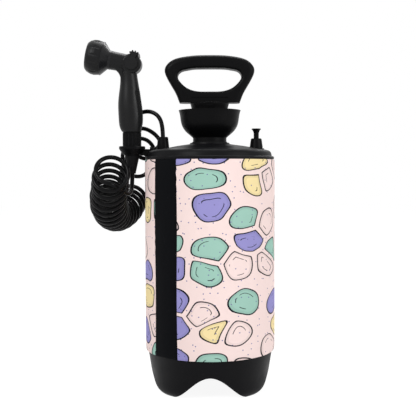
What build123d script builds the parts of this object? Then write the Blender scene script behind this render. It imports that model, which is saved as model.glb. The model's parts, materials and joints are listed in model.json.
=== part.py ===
from build123d import *
from math import atan2, cos, degrees, hypot, pi, radians, sin, tan
import os

# Portable shower, millimetres. Origin on the tank's axis at the floor, +Z up, +X to the relief valve,
# -Y to the front.

# Clearances
RUN = 0.05
SLIP = 0.15
SOFT = 0.3
SEAT = 0.1

# Tank
TANK_RADIUS = 95.0
TANK_WALL = 3.0
SHOULDER_Z = 346.3
BEAD_PROUD = 2.0
BEAD_HEIGHT = 4.2
DOME_EDGE_INSET = 1.7
DOME_EDGE_RISE = 6.8
DOME_RISE = 23.0
NECK_RING_RADIUS = 29.6
NECK_RADIUS = 22.5
NECK_BORE = 19.5
NECK_RISE = 14.0

# Four moulded feet between two crossing arches
FOOT_TIP_INSET = 13.0
BASE_HEIGHT = 60.0
ARCH_RISE = 37.2
ARCH_SINK = 3.2
ARCH_SPAN_INSET = 31.0
PUSH_UP_RADIUS = 15.0

# Sleeve with its closure strip
SLEEVE_THICK = 2.7
SLEEVE_BOTTOM = 59.0
STRIP_AZIMUTH = -131.8
STRIP_WIDTH = 43.4

# Funnel
FUNNEL_WALL = 2.6
FUNNEL_NECK_RADIUS = 25.3
FUNNEL_BOWL_RADIUS = 44.9
FUNNEL_RIM_RADIUS = 46.8
FUNNEL_HEIGHT = 47.4
NECK_GASKET_THICK = 1.5

# Pump cap
CAP_TOP_RADIUS = 29.4
CAP_FOOT_RADIUS = 23.5
CAP_WALL = 2.4
CAP_WEB = 5.0
CAP_HEIGHT = 44.8
CAP_PLUG_DEPTH = 18.0
CAP_SEAL_THICK = 2.0
LEDGE_THICK = 2.5
LEDGE_START = 30.0
STOP_ARC = 4.0
HANDLE_TURN = 60.0

# Pump cylinder, rod and piston
CYLINDER_BORE = 15.2
CYLINDER_WALL = 1.8
CYLINDER_LENGTH = 335.0
CYLINDER_FLOOR = 4.0
ROD_RADIUS = 6.0
ROD_BORE = 4.0
ROD_FLAT = 5.2
BUSH_RADIUS = 9.0
BUSH_FLANGE = 12.0
PISTON_LENGTH = 18.0
PISTON_HEAD_CLEARANCE = 10.0
SEAL_WIDTH = 3.4
VALVE_DISC_RADIUS = 9.0

# D-handle
HANDLE_HALF = 67.3
HANDLE_HEIGHT = 71.2
HANDLE_DEPTH = 28.0
HANDLE_BAR = 19.6
HANDLE_SILL = 16.6
HANDLE_EDGE_ROUND = 8.5
HANDLE_HOLE_ROUND = 5.0
HUB_RADIUS = 19.5
HUB_DROP = 12.6
LUG_THICK = 3.7
LUG_ARC = 28.0
PIN_RADIUS = 1.5

# Relief valve
RELIEF_INSET = 24.6
RELIEF_SEAT_Z = 362.6
RELIEF_RADIUS = 10.0
RELIEF_TOP_RADIUS = 8.2
RELIEF_HEIGHT = 14.0
RELIEF_THREAD = 6.0
RELIEF_STEM = 3.9
RELIEF_CAP_RADIUS = 7.0
RELIEF_STEM_RISE = 14.9
GASKET_THICK = 1.0
SPRING_WIRE = 0.45
SPRING_TURNS = 4.0

# Outlet with the hose nut
OUTLET_INSET = 24.3
OUTLET_SEAT_Z = 350.5
OUTLET_DISH = 16.0
OUTLET_THREAD = 6.4
NUT_BASE_RADIUS = 9.5
NUT_TOP_RADIUS = 7.8
NUT_HEIGHT = 19.0
NUT_FLUTES = 10
DIP_RADIUS = 4.0
DIP_BORE = 2.8
DIP_BOTTOM = 45.5
FILTER_RADIUS = 6.0
FILTER_LENGTH = 14.0

# Handset holder
HUB_OUTER = 13.5
HUB_THICK = 7.4
ARM_WIDTH = 11.0
CUP_BOTTOM_Z = 353.0
CUP_TOP_Z = 366.0
CUP_SEAT_Z = 359.0
CUP_RADIUS = 19.8
CUP_SLOT = 11.0

# Handset
HANDSET_BESIDE = 22.0
HANDSET_Y = -6.0
HANDNUT_RADIUS = 14.0
HANDNUT_HEIGHT = 28.3
HANDNUT_FLUTES = 18
TAIL_LENGTH = 34.0
TAIL_TOP_RADIUS = 10.9
TAIL_END_RADIUS = 5.3
GRIP_WALL = 2.2
ELBOW_LEAN = 0.8
ELBOW_Z = 488.5
ELBOW_RADIUS = 14.8
ELBOW_HALF = 13.2
ARM_RADIUS = 13.8
WATERWAY = 6.5
HEAD_TILT = 11.0
ARM_LENGTH = 35.2
CONE_LENGTH = 10.5
CONE_RADIUS = 25.0
DIAL_RADIUS = 26.0
DIAL_LENGTH = 22.6
DIAL_FACE_RADIUS = 20.0
DIAL_WALL = 2.4
DIAL_SCALLOPS = 12
SPIGOT_RADIUS = 4.0
SPINDLE_RADIUS = 6.0
LEVER_THICK = 2.2
LEVER_BOSS = 9.5
LEVER_START = 48.0
LEVER_END = 98.0
LEVER_FINS = 3

# Hose
HOSE_RADIUS = 3.25
COIL_RADIUS = 28.0

# Places, levels and radii worked out from the sizes above
RELIEF_X = TANK_RADIUS - RELIEF_INSET
OUTLET_X = OUTLET_INSET - TANK_RADIUS
HANDSET_X = -TANK_RADIUS - HANDSET_BESIDE
ELBOW_X = HANDSET_X + ELBOW_LEAN
foot_tip_radius = TANK_RADIUS - FOOT_TIP_INSET
dome_top = SHOULDER_Z + DOME_RISE
ring_top = dome_top + 1.7
neck_top = dome_top + NECK_RISE + 0.7
funnel_foot = ring_top + NECK_GASKET_THICK
funnel_rim = funnel_foot + FUNNEL_HEIGHT
cap_flange = neck_top + CAP_SEAL_THICK
cap_top = cap_flange + CAP_HEIGHT
web_top = cap_flange + CAP_WEB + 7.0
web_foot = web_top - CAP_WEB
plate_foot = cap_top + SEAT
cylinder_top = web_foot
cylinder_foot = cylinder_top - CYLINDER_LENGTH
cylinder_radius = CYLINDER_BORE + CYLINDER_WALL
piston_foot = cylinder_foot + CYLINDER_FLOOR + PISTON_HEAD_CLEARANCE
handnut_foot = CUP_SEAT_Z + SEAT
handnut_top = handnut_foot + HANDNUT_HEIGHT
fitting_collar = OUTLET_SEAT_Z + GASKET_THICK + HUB_THICK
nut_foot = fitting_collar + 2.4
nut_top = nut_foot + NUT_HEIGHT


def section(points, rounds=None):
    """Closed face of a profile, with the corners named by index rounded."""
    face = make_face(Polyline(*points, close=True))
    for index, radius in (rounds or {}).items():
        x, y = points[index]
        corner = min(face.vertices(), key=lambda v: hypot(v.X - x, v.Y - y))
        face = fillet(corner, radius)
    return face


def turned(points, rounds=None):
    """Solid of revolution about Z from (radius, height) points."""
    return revolve(Plane.XZ * section(points, rounds), Axis.Z)


def tube(outer, inner, low, high):
    """Ring with a round hole, from one level to another."""
    return turned([(inner, low), (outer, low), (outer, high), (inner, high)])


def rod(radius, low, high):
    """Plain round bar on Z."""
    return Pos(0, 0, low) * Cylinder(radius, high - low, align=(Align.CENTER, Align.CENTER, Align.MIN))


def sector(outer, inner, low, high, start, arc):
    """Part of a ring, from a start angle in degrees."""
    face = section([(inner, low), (outer, low), (outer, high), (inner, high)])
    return revolve(Plane.XZ * face, Axis.Z, arc).rotate(Axis.Z, start)


def around(count, shape):
    """The same shape turned about Z, as often as asked."""
    step = 360.0 / count
    return [shape.rotate(Axis.Z, step * n) for n in range(count)]


def keyed(radius, flat, low, high):
    """Bar with two flats that turns with a bore of the same section."""
    bar = rod(radius, low, high)
    return bar & Pos(0, 0, (low + high) / 2) * Box(4 * radius, 2 * flat, high - low)


# Tank
def tank_form(inset):
    """Turned body of the tank, its outside at no inset, its inside at the wall's."""
    edge_z = SHOULDER_Z + DOME_EDGE_RISE
    base = Spline(
        (foot_tip_radius - inset, inset),
        (foot_tip_radius + 4.6 - inset, 5.0 + inset / 2),
        (TANK_RADIUS - 6.2 - inset, 19.0),
        (TANK_RADIUS - 3.6 - inset, 40.0),
        (TANK_RADIUS - inset, BASE_HEIGHT),
    )
    edge = TANK_RADIUS - DOME_EDGE_INSET
    rim = (edge - inset, edge_z - inset / 2)
    dome = Spline(
        rim,
        (edge - 2.3 - inset, SHOULDER_Z + 11.6 - inset),
        (edge - 13.3 - inset / 2, SHOULDER_Z + 14.6 - inset),
        (0.64 * TANK_RADIUS, SHOULDER_Z + 18.3 - inset),
        (NECK_RING_RADIUS, dome_top - inset),
    )
    low = Line((0, inset), base @ 0)
    side = Line(base @ 1, (TANK_RADIUS - inset, SHOULDER_Z))
    step = Line(side @ 1, rim)
    roof = Line(dome @ 1, (0, dome_top - inset))
    back = Line(roof @ 1, (0, inset))
    return revolve(Plane.XZ * make_face([low, base, side, step, dome, roof, back]), Axis.Z)


def arch(grow):
    """Bell-shaped tunnel section under the tank, drawn on XZ and run along Y."""
    half = TANK_RADIUS - ARCH_SPAN_INSET + grow
    samples = [-1.0, -0.8, -0.6, -0.4, -0.2, 0.0, 0.2, 0.4, 0.6, 0.8, 1.0]
    bell = Spline([(s * half, ARCH_RISE / 2 * (1 + cos(pi * s)) - ARCH_SINK + grow) for s in samples])
    deep = -ARCH_RISE
    drop_right = Line(bell @ 1, (half, deep))
    across = Line(drop_right @ 1, (-half, deep))
    drop_left = Line(across @ 1, bell @ 0)
    face = Plane.XZ * make_face([bell, drop_right, across, drop_left])
    return extrude(face, 2 * TANK_RADIUS, both=True)


def arches(grow):
    """Push-up in the middle of the base, then the two tunnels that cross there."""
    tunnel = arch(grow)
    roof = ARCH_RISE - ARCH_SINK + grow
    wide = PUSH_UP_RADIUS + grow
    push_up = turned([(0, -1), (wide, -1), (wide, roof), (wide - 3, roof + 3), (0, roof + 3)])
    return [push_up, tunnel, tunnel.rotate(Axis.Z, 90)]


def outlet_dish(grow):
    """Dished seat for the outlet in the dome's left side."""
    dish = turned([
        (0, OUTLET_SEAT_Z - grow),
        (OUTLET_DISH + grow, OUTLET_SEAT_Z - grow),
        (OUTLET_DISH + 4 + grow, OUTLET_SEAT_Z + 6.5 - grow),
        (OUTLET_DISH + 17 + grow, OUTLET_SEAT_Z + 14.5 - grow),
        (OUTLET_DISH + 17 + grow, dome_top + 20),
        (0, dome_top + 20),
    ])
    way = Box(60, ARM_WIDTH + 4 + 2 * grow, 40, align=(Align.MAX, Align.CENTER, Align.MIN))
    way = way.rotate(Axis.Z, arm_angle())
    return Pos(OUTLET_X, 0, 0) * (dish + Pos(0, 0, OUTLET_SEAT_Z - grow) * way)


def arm_angle():
    """Turn of the holder's arm from -X, in degrees."""
    return degrees(atan2(-HANDSET_Y, OUTLET_X - HANDSET_X))


def tank():
    """Blow-moulded vessel with feet, shoulder bead, neck and two flat seats."""
    outside = tank_form(0)
    inside = tank_form(TANK_WALL)
    for cut in arches(0):
        outside -= cut
    for cut in arches(TANK_WALL):
        inside -= cut
    inside -= outlet_dish(TANK_WALL)
    shell = outside - inside - outlet_dish(0)
    bead = turned([
        (TANK_RADIUS - 1, SHOULDER_Z),
        (TANK_RADIUS + BEAD_PROUD, SHOULDER_Z),
        (TANK_RADIUS + BEAD_PROUD, SHOULDER_Z + BEAD_HEIGHT - 1),
        (TANK_RADIUS + BEAD_PROUD - 1.2, SHOULDER_Z + BEAD_HEIGHT),
        (TANK_RADIUS - 1, SHOULDER_Z + BEAD_HEIGHT),
    ])
    shell += bead - outlet_dish(0)
    shell += turned([
        (NECK_RADIUS - 1, dome_top - TANK_WALL),
        (NECK_RING_RADIUS + 1.4, dome_top - TANK_WALL),
        (NECK_RING_RADIUS, ring_top),
        (NECK_RADIUS - 1, ring_top),
    ])
    shell += rod(NECK_RADIUS, dome_top - TANK_WALL, neck_top)
    shell -= rod(NECK_BORE, dome_top - 2 * TANK_WALL, neck_top + 1)
    pad = rod(RELIEF_RADIUS + 2, RELIEF_SEAT_Z - 6, RELIEF_SEAT_Z)
    spot = rod(RELIEF_RADIUS + 2.5, RELIEF_SEAT_Z, RELIEF_SEAT_Z + 10)
    shell += Pos(RELIEF_X, 0, 0) * pad
    shell -= Pos(RELIEF_X, 0, 0) * (spot + rod(RELIEF_THREAD + RUN, RELIEF_SEAT_Z - 10, RELIEF_SEAT_Z + 1))
    shell -= Pos(OUTLET_X, 0, 0) * rod(OUTLET_THREAD + RUN, OUTLET_SEAT_Z - 10, OUTLET_SEAT_Z + 1)
    return shell


# Sleeve
def sleeve_band(start, arc):
    """Part of the sleeve's tube, by angle."""
    inner = TANK_RADIUS + SOFT
    top = SHOULDER_Z - SOFT
    return sector(inner + SLEEVE_THICK, inner, SLEEVE_BOTTOM, top, start, arc)


def strip_arc():
    """Angle that the closure strip covers."""
    return degrees(STRIP_WIDTH / (TANK_RADIUS + SOFT + SLEEVE_THICK))


def closure_strip():
    """Plain strip that closes the wrap."""
    return sleeve_band(STRIP_AZIMUTH - strip_arc() / 2, strip_arc())


def sleeve_panel():
    """Printed wrap, from one side of the strip round to the other."""
    seam = 0.06
    return sleeve_band(STRIP_AZIMUTH + strip_arc() / 2 + seam, 360 - strip_arc() - 2 * seam)


# Funnel
def funnel_collar():
    """Bowl over the neck that water is poured into."""
    low = funnel_foot
    wall = FUNNEL_WALL
    outer = Spline(
        (FUNNEL_NECK_RADIUS, low + 6),
        (30.0, low + 10.2),
        (36.8, low + 16.4),
        (FUNNEL_BOWL_RADIUS - 2.2, low + 27.3),
        (FUNNEL_BOWL_RADIUS, low + 40.6),
        (FUNNEL_RIM_RADIUS, funnel_rim),
    )
    inner = Spline(
        (FUNNEL_RIM_RADIUS - 2.0, funnel_rim),
        (FUNNEL_BOWL_RADIUS - wall, low + 40.9),
        (FUNNEL_BOWL_RADIUS - 2.2 - wall, low + 28.1),
        (35.2, low + 18.6),
        (29.4, low + 14.2),
        (NECK_RADIUS + SLIP, low + 13.0),
    )
    foot = Line((NECK_RADIUS + SLIP, low), (FUNNEL_NECK_RADIUS, low))
    side = Line(foot @ 1, outer @ 0)
    lip = Line(outer @ 1, inner @ 0)
    bore = Line(inner @ 1, foot @ 0)
    return revolve(Plane.XZ * make_face([foot, side, outer, lip, inner, bore]), Axis.Z)


def neck_gasket():
    """Flat ring under the funnel."""
    return tube(FUNNEL_NECK_RADIUS + 1.2, NECK_RADIUS + SLIP, ring_top, funnel_foot)


# Pump
def cap_wall_radius(z):
    """Inner radius of the cap's open top at a level."""
    share = (z - web_top) / (cap_top - web_top)
    return CAP_TOP_RADIUS - CAP_WALL - (1 - share) * 2.6


def pump_cap():
    """Screw cap with a plug into the neck, an open top and two locking ledges."""
    plug = NECK_BORE - SLIP
    socket = cylinder_radius + RUN
    cap = turned([
        (socket, cap_flange - CAP_PLUG_DEPTH),
        (plug, cap_flange - CAP_PLUG_DEPTH),
        (plug, cap_flange),
        (CAP_FOOT_RADIUS, cap_flange),
        (CAP_FOOT_RADIUS, cap_flange + 4),
        (CAP_FOOT_RADIUS + 2.1, cap_flange + 14),
        (CAP_TOP_RADIUS - 2.0, cap_top - 7.8),
        (CAP_TOP_RADIUS, cap_top),
        (CAP_TOP_RADIUS - CAP_WALL, cap_top),
        (cap_wall_radius(web_top) - 1.6, web_top),
        (BUSH_RADIUS + RUN, web_top),
        (BUSH_RADIUS + RUN, web_foot),
        (socket, web_foot),
    ], {7: 0.8})
    window = Pos(0, -CAP_TOP_RADIUS, cap_top - 4.6) * Box(13, 2.4, 3.2)
    cap -= window
    lug_top = plate_foot - HUB_DROP + 2.4 + LUG_THICK
    ledge_foot = lug_top + SOFT
    inner = HUB_RADIUS + 0.9
    outer = cap_wall_radius(ledge_foot) + 0.8
    stop = LUG_ARC / 2 + HANDLE_TURN + 1.0
    ledge_arc = stop + STOP_ARC - LEDGE_START
    for side in (0.0, 180.0):
        cap += sector(outer, inner, ledge_foot, ledge_foot + LEDGE_THICK, side + LEDGE_START, ledge_arc)
        cap += sector(outer - 0.4, inner, ledge_foot - LUG_THICK, ledge_foot + 1, side + stop, STOP_ARC)
    return cap


def cap_seal():
    """Flat seal between the cap's flange and the neck."""
    return tube(NECK_RADIUS - 0.1, NECK_BORE, neck_top + SEAT, cap_flange)


def pump_cylinder():
    """Pump barrel with a perforated floor."""
    barrel = turned([
        (0, cylinder_foot),
        (cylinder_radius - 1.5, cylinder_foot),
        (cylinder_radius, cylinder_foot + 1.5),
        (cylinder_radius, cylinder_top),
        (CYLINDER_BORE, cylinder_top),
        (CYLINDER_BORE, cylinder_foot + CYLINDER_FLOOR),
        (0, cylinder_foot + CYLINDER_FLOOR),
    ])
    barrel -= rod(2.1, cylinder_foot - 1, cylinder_foot + CYLINDER_FLOOR + 1)
    port = Pos(6.2, 0, 0) * rod(1.7, cylinder_foot - 1, cylinder_foot + CYLINDER_FLOOR + 1)
    for hole in around(6, port):
        barrel -= hole
    return barrel


def foot_valve():
    """Umbrella valve held in the floor's centre hole by its bulb."""
    top = cylinder_foot + CYLINDER_FLOOR
    return turned([
        (0, cylinder_foot - 2.6),
        (3.5, cylinder_foot - 2.4),
        (VALVE_DISC_RADIUS, cylinder_foot - 1.0),
        (VALVE_DISC_RADIUS, cylinder_foot - SEAT),
        (2.0, cylinder_foot - SEAT),
        (2.0, top + SEAT),
        (3.0, top + 0.8),
        (1.2, top + 4.0),
        (0, top + 4.0),
    ])


def rod_bush():
    """Keyed bush that turns in the cap's web with the rod."""
    lip = web_foot - SEAT
    bush = turned([
        (0, lip - 5),
        (BUSH_RADIUS - 1, lip - 5),
        (BUSH_RADIUS + 0.7, lip - 0.8),
        (BUSH_RADIUS + 0.7, lip),
        (BUSH_RADIUS, lip),
        (BUSH_RADIUS, web_top + SEAT),
        (BUSH_FLANGE, web_top + SEAT),
        (BUSH_FLANGE, web_top + 2.6),
        (0, web_top + 2.6),
    ])
    return bush - keyed(ROD_RADIUS + RUN, ROD_FLAT + RUN, lip - 6, web_top + 4)


def pump_rod():
    """Tubular rod with two flats, from the piston up into the handle."""
    low = piston_foot + PISTON_LENGTH / 3
    high = plate_foot + 12
    bar = keyed(ROD_RADIUS, ROD_FLAT, low, high) - rod(ROD_BORE, low - 1, high - 6)
    return bar - cross_pin(PIN_RADIUS + RUN, 2 * HUB_RADIUS)


def cross_pin(radius, length):
    """Bar along Y through the hub."""
    level = plate_foot - HUB_DROP / 2
    return Pos(0, 0, level) * Rot(90, 0, 0) * Cylinder(radius, length)


def handle_pin():
    """Pin that holds the rod in the handle's hub."""
    return cross_pin(PIN_RADIUS, 2 * HUB_RADIUS - 3)


def piston():
    """Piston head with a groove for its seal."""
    groove = piston_foot + PISTON_LENGTH / 2 - SEAL_WIDTH
    body = turned([
        (0, piston_foot),
        (CYLINDER_BORE - 2.0, piston_foot),
        (CYLINDER_BORE - 0.6, piston_foot + 1.4),
        (CYLINDER_BORE - 0.6, groove),
        (CYLINDER_BORE - 2.8, groove),
        (CYLINDER_BORE - 2.8, groove + SEAL_WIDTH + 2 * RUN),
        (CYLINDER_BORE - 0.6, groove + SEAL_WIDTH + 2 * RUN),
        (CYLINDER_BORE - 0.6, groove + SEAL_WIDTH + 3),
        (ROD_RADIUS + 2.4, piston_foot + PISTON_LENGTH),
        (0, piston_foot + PISTON_LENGTH),
    ])
    low = piston_foot + PISTON_LENGTH / 3
    return body - keyed(ROD_RADIUS + RUN, ROD_FLAT + RUN, low, piston_foot + PISTON_LENGTH + 1)


def piston_seal():
    """Ring that runs on the barrel's wall."""
    groove = piston_foot + PISTON_LENGTH / 2 - SEAL_WIDTH + RUN
    return tube(CYLINDER_BORE - RUN, CYLINDER_BORE - 2.8, groove, groove + SEAL_WIDTH)


def handle_outline():
    """Outer outline of the D-handle on XZ."""
    low = plate_foot
    wide = HANDLE_HALF
    high = HANDLE_HEIGHT
    right = Spline(
        (0.733 * wide, low + 0.150 * high),
        (0.836 * wide, low + 0.333 * high),
        (0.954 * wide, low + 0.530 * high),
        (wide, low + 0.694 * high),
        (0.884 * wide, low + 0.862 * high),
        (0.722 * wide, low + 0.935 * high),
        (0.528 * wide, low + 0.972 * high),
        (0, low + high),
        tangents=((0.42, 1), (-1, 0)),
    )
    foot = Line((0, low), (0.673 * wide, low))
    flank = Line(foot @ 1, right @ 0)
    half = [foot, flank, right]
    return half + [edge.mirror(Plane.YZ) for edge in half]


def handle_opening():
    """Finger opening of the D-handle on XZ."""
    low = plate_foot + HANDLE_SILL
    high = plate_foot + HANDLE_HEIGHT - HANDLE_BAR
    wide = HANDLE_HALF - HANDLE_BAR
    tall = high - low
    right = Spline(
        (0, low),
        (0.42 * wide, low + 0.02 * tall),
        (0.69 * wide, low + 0.14 * tall),
        (0.90 * wide, low + 0.38 * tall),
        (wide, low + 0.67 * tall),
        (0.92 * wide, low + 0.85 * tall),
        (0.72 * wide, low + 0.94 * tall),
        (0, high),
        tangents=((1, 0), (-1, 0)),
    )
    return [right, right.mirror(Plane.YZ)]


def handle():
    """D-handle with a rounded bar, a flat base and a hub with two locking lugs."""
    body = extrude(Plane.XZ * make_face(handle_outline()), HANDLE_DEPTH / 2, both=True)
    sharp_z = plate_foot + 12
    rim = [e for e in body.edges() if e.center().Z > sharp_z and abs(e.center().Y) > HANDLE_DEPTH / 2 - 0.1]
    body = fillet(rim, HANDLE_EDGE_ROUND)
    hole = extrude(Plane.XZ * make_face(handle_opening()), HANDLE_DEPTH, both=True)
    body -= hole
    hole_edges = [e for e in body.edges() if inside_opening(e)]
    body = fillet(hole_edges, HANDLE_HOLE_ROUND)
    groove = Box(54, 2.4, 1.6)
    for side in (-1, 1):
        body -= Pos(0, side * HANDLE_DEPTH / 2, plate_foot + 7.2) * groove
    hub = rod(HUB_RADIUS, plate_foot - HUB_DROP, plate_foot)
    lug_foot = plate_foot - HUB_DROP + 2.4
    for start in (0.0, 180.0):
        hub += sector(HUB_RADIUS + 4.1, HUB_RADIUS - 1, lug_foot, lug_foot + LUG_THICK,
                      start - LUG_ARC / 2, LUG_ARC)
    body += hub
    body -= keyed(ROD_RADIUS + RUN, ROD_FLAT + RUN, plate_foot - HUB_DROP - 1, plate_foot + 12)
    return body - cross_pin(PIN_RADIUS + RUN, 2 * HUB_RADIUS + 2)


def inside_opening(edge):
    """True for the two rims of the finger opening."""
    middle = edge.center()
    on_face = abs(abs(middle.Y) - HANDLE_DEPTH / 2) < 0.1
    low = plate_foot + HANDLE_SILL - 1
    high = plate_foot + HANDLE_HEIGHT - HANDLE_BAR + 1
    box = edge.bounding_box()
    return on_face and box.min.Z > low and box.max.Z < high and abs(box.max.X) < HANDLE_HALF - HANDLE_BAR + 1


# Relief valve
def relief_levels():
    """Underside of the valve body, its seal seat, chamber top and top."""
    foot = RELIEF_SEAT_Z + GASKET_THICK
    return foot, foot + 0.8, foot + RELIEF_HEIGHT - 3.0, foot + RELIEF_HEIGHT


def relief_valve_body():
    """Conical boss screwed into the dome, with a spring chamber inside."""
    foot, seat, roof, top = relief_levels()
    chamber = RELIEF_STEM + 2.3
    body = turned([
        (2.0, foot - 11),
        (RELIEF_THREAD, foot - 11),
        (RELIEF_THREAD, foot),
        (RELIEF_RADIUS, foot),
        (RELIEF_RADIUS - 0.4, foot + 3),
        (RELIEF_TOP_RADIUS, top - 1.2),
        (RELIEF_TOP_RADIUS - 1.0, top),
        (RELIEF_STEM + RUN, top),
        (RELIEF_STEM + RUN, roof),
        (chamber, roof),
        (chamber, seat),
        (2.0, seat),
    ])
    return Pos(RELIEF_X, 0, 0) * body


def relief_gasket():
    """Ring under the valve body."""
    ring = tube(RELIEF_RADIUS - 0.6, RELIEF_THREAD + SLIP, RELIEF_SEAT_Z, RELIEF_SEAT_Z + GASKET_THICK)
    return Pos(RELIEF_X, 0, 0) * ring


def relief_stem():
    """Pull stem with a flared top and a collar under the spring."""
    foot, seat, roof, top = relief_levels()
    collar = seat + 1.4
    high = top + RELIEF_STEM_RISE
    stem = turned([
        (0, collar),
        (RELIEF_STEM + 1.9, collar),
        (RELIEF_STEM + 1.9, collar + 1.5),
        (RELIEF_STEM, collar + 1.5),
        (RELIEF_STEM, high - 7.0),
        (RELIEF_STEM + 0.6, high - 5.0),
        (RELIEF_CAP_RADIUS - 1.2, high - 2.2),
        (RELIEF_CAP_RADIUS, high - 1.4),
        (RELIEF_CAP_RADIUS, high - 0.4),
        (RELIEF_CAP_RADIUS - 0.6, high),
        (4.4, high - 0.7),
        (0, high - 1.0),
    ])
    return Pos(RELIEF_X, 0, 0) * stem


def relief_seal():
    """Disc that closes the vent hole."""
    foot, seat, roof, top = relief_levels()
    return Pos(RELIEF_X, 0, 0) * rod(RELIEF_STEM + 1.6, seat + SEAT, seat + 1.4)


def relief_spring():
    """Coil spring between the stem's collar and the chamber's roof."""
    foot, seat, roof, top = relief_levels()
    low = seat + 2.9 + SPRING_WIRE + 0.1
    high = roof - SPRING_WIRE - 0.1
    mean = RELIEF_STEM + 1.2
    path = Helix((high - low) / SPRING_TURNS, high - low, mean)
    wire = sweep(Plane(path @ 0, z_dir=path % 0) * Circle(SPRING_WIRE), path, is_frenet=True)
    return Pos(RELIEF_X, 0, low) * wire


# Outlet
def outlet_fitting():
    """Threaded fitting through the dome with a collar and a hose barb."""
    spigot = nut_foot + NUT_HEIGHT * 0.56
    fitting = turned([
        (2.0, OUTLET_SEAT_Z - 13),
        (2.0, spigot + 4),
        (HOSE_RADIUS - 0.9, spigot + 4),
        (HOSE_RADIUS - 0.6, spigot + 1),
        (HOSE_RADIUS - 0.6, spigot),
        (OUTLET_THREAD, spigot),
        (OUTLET_THREAD, nut_foot - SEAT),
        (OUTLET_THREAD + 2.2, nut_foot - SEAT),
        (OUTLET_THREAD + 2.2, fitting_collar),
        (OUTLET_THREAD, fitting_collar),
        (OUTLET_THREAD, OUTLET_SEAT_Z - 13),
    ])
    fitting -= rod(DIP_RADIUS + RUN, OUTLET_SEAT_Z - 14, OUTLET_SEAT_Z - 3)
    return Pos(OUTLET_X, 0, 0) * fitting


def outlet_gasket():
    """Ring between the dome's seat and the holder."""
    ring = tube(HUB_OUTER - 1, OUTLET_THREAD + SLIP, OUTLET_SEAT_Z, OUTLET_SEAT_Z + GASKET_THICK)
    return Pos(OUTLET_X, 0, 0) * ring


def outlet_nut():
    """Conical fluted nut that clamps the hose on its barb."""
    spigot = nut_foot + NUT_HEIGHT * 0.56
    nut = turned([
        (OUTLET_THREAD + RUN, nut_foot),
        (NUT_BASE_RADIUS, nut_foot),
        (NUT_BASE_RADIUS, nut_foot + 2),
        (NUT_TOP_RADIUS, nut_top - 1),
        (NUT_TOP_RADIUS - 1, nut_top),
        (HOSE_RADIUS + SLIP, nut_top),
        (HOSE_RADIUS + SLIP, spigot + SEAT),
        (OUTLET_THREAD + RUN, spigot + SEAT),
    ])
    flute = Pos(NUT_BASE_RADIUS + 0.9, 0, 0) * rod(1.6, nut_foot + 3, nut_top - 4)
    for cut in around(NUT_FLUTES, flute):
        nut -= cut
    return Pos(OUTLET_X, 0, 0) * nut


def dip_tube():
    """Straight pipe from the fitting down to the tank's floor."""
    return Pos(OUTLET_X, 0, 0) * tube(DIP_RADIUS, DIP_BORE, DIP_BOTTOM, OUTLET_SEAT_Z - 3 - SEAT)


def dip_filter():
    """Slotted cup on the pipe's end."""
    low = DIP_BOTTOM - 6
    cup = turned([
        (0, low),
        (FILTER_RADIUS - 1, low),
        (FILTER_RADIUS, low + 1),
        (FILTER_RADIUS, low + FILTER_LENGTH),
        (DIP_RADIUS + RUN, low + FILTER_LENGTH),
        (DIP_RADIUS + RUN, DIP_BOTTOM - SEAT),
        (DIP_BORE, DIP_BOTTOM - SEAT),
        (DIP_BORE, low + 1.5),
        (0, low + 1.5),
    ])
    slot = Pos(FILTER_RADIUS, 0, low + 3.6) * Box(8, 1.2, 3)
    for cut in around(6, slot):
        cup -= cut
    return Pos(OUTLET_X, 0, 0) * cup


# Handset holder
def handset_holder():
    """Bracket clamped at the outlet, with an open cup that carries the handset's nut."""
    low = OUTLET_SEAT_Z + GASKET_THICK
    hub = tube(HUB_OUTER, OUTLET_THREAD + SLIP, low, fitting_collar)
    reach = hypot(HANDSET_X - OUTLET_X, HANDSET_Y)
    arm = Box(reach, ARM_WIDTH, fitting_collar - low - 0.6, align=(Align.MAX, Align.CENTER, Align.MIN))
    rib = Box(reach - 20, 2.4, 4.0, align=(Align.MAX, Align.CENTER, Align.MIN))
    post = Pos(-HUB_OUTER - 3.4, 0, fitting_collar - 1) * Cylinder(3.0, 14.4)
    arm = Pos(0, 0, low + 0.6) * arm + Pos(-8, 0, fitting_collar - 1) * rib + post
    arm = arm.rotate(Axis.Z, arm_angle()) - rod(OUTLET_THREAD + SLIP, low - 1, fitting_collar + 1)
    arm -= rod(NUT_BASE_RADIUS + 0.5, fitting_collar, fitting_collar + 9)
    bracket = Pos(OUTLET_X, 0, 0) * (hub + arm)
    lip = TAIL_TOP_RADIUS + 0.8
    bore = HANDNUT_RADIUS + 0.6
    cup = turned([
        (lip, CUP_BOTTOM_Z),
        (lip + 2.2, CUP_BOTTOM_Z),
        (CUP_RADIUS, CUP_SEAT_Z + 3),
        (CUP_RADIUS, CUP_TOP_Z - 0.8),
        (CUP_RADIUS - 0.8, CUP_TOP_Z),
        (bore + 2.6, CUP_TOP_Z),
        (bore, CUP_TOP_Z - 4),
        (bore, CUP_SEAT_Z),
        (lip, CUP_SEAT_Z),
    ])
    bracket -= Pos(HANDSET_X, HANDSET_Y, 0) * rod(lip + 2.2, low - 1, CUP_TOP_Z + 9)
    bracket -= Pos(HANDSET_X, HANDSET_Y, 0) * rod(bore, CUP_SEAT_Z, CUP_TOP_Z + 9)
    bracket += Pos(HANDSET_X, HANDSET_Y, 0) * cup
    slot = Pos(HANDSET_X - CUP_RADIUS, HANDSET_Y, CUP_TOP_Z) * Box(2 * CUP_RADIUS, CUP_SLOT, 40)
    return bracket - slot


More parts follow.
